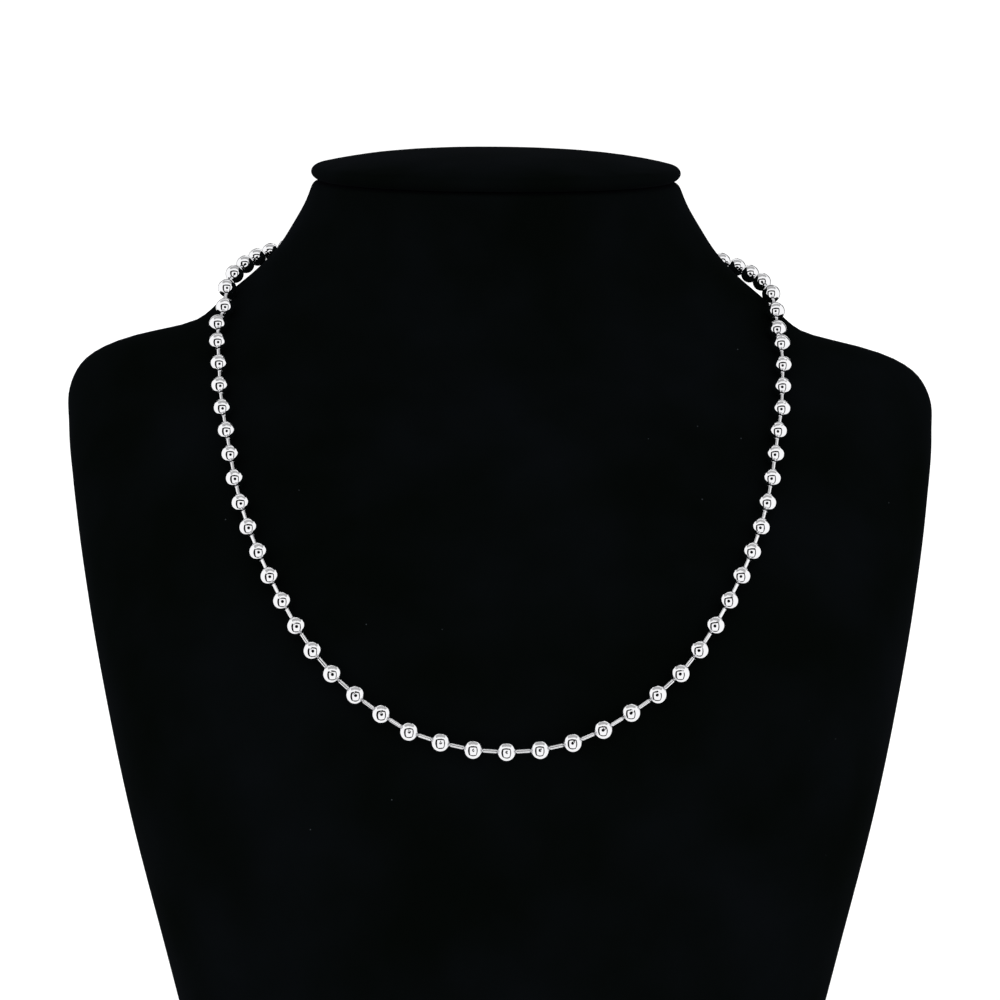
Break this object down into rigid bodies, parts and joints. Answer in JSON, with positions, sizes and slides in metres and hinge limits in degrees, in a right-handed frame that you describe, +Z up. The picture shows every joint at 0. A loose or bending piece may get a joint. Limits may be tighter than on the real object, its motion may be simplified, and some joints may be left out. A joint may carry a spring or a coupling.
{
  "type": "ball chain necklace on neck bust",
  "caption": "Necklace of hollow balls joined by short headed bars, closed behind the neck by a clasp and link extender, worn by a plain velvet neck bust.",
  "frame": {"origin": "the middle of the bust's base, on the surface it stands on", "axes": "+Z up, the chest faces -Y, +X towards the viewer's right"},
  "size_m": [0.1871, 0.132, 0.2117],
  "materials": {
    "black_velvet": "short-pile black velvet",
    "polished_metal": "mirror-polished silver-coloured metal"
  },
  "bodies": {
    "root": {"neck_bust": "black_velvet", "neck_cap": "black_velvet", "chain_balls": "polished_metal", "chain_bars": "polished_metal", "end_pin_left": "polished_metal", "end_pin_right": "polished_metal", "jump_ring_left": "polished_metal", "jump_ring_right": "polished_metal", "extender_chain": "polished_metal", "clasp": "polished_metal"}
  },
  "joints": []
}
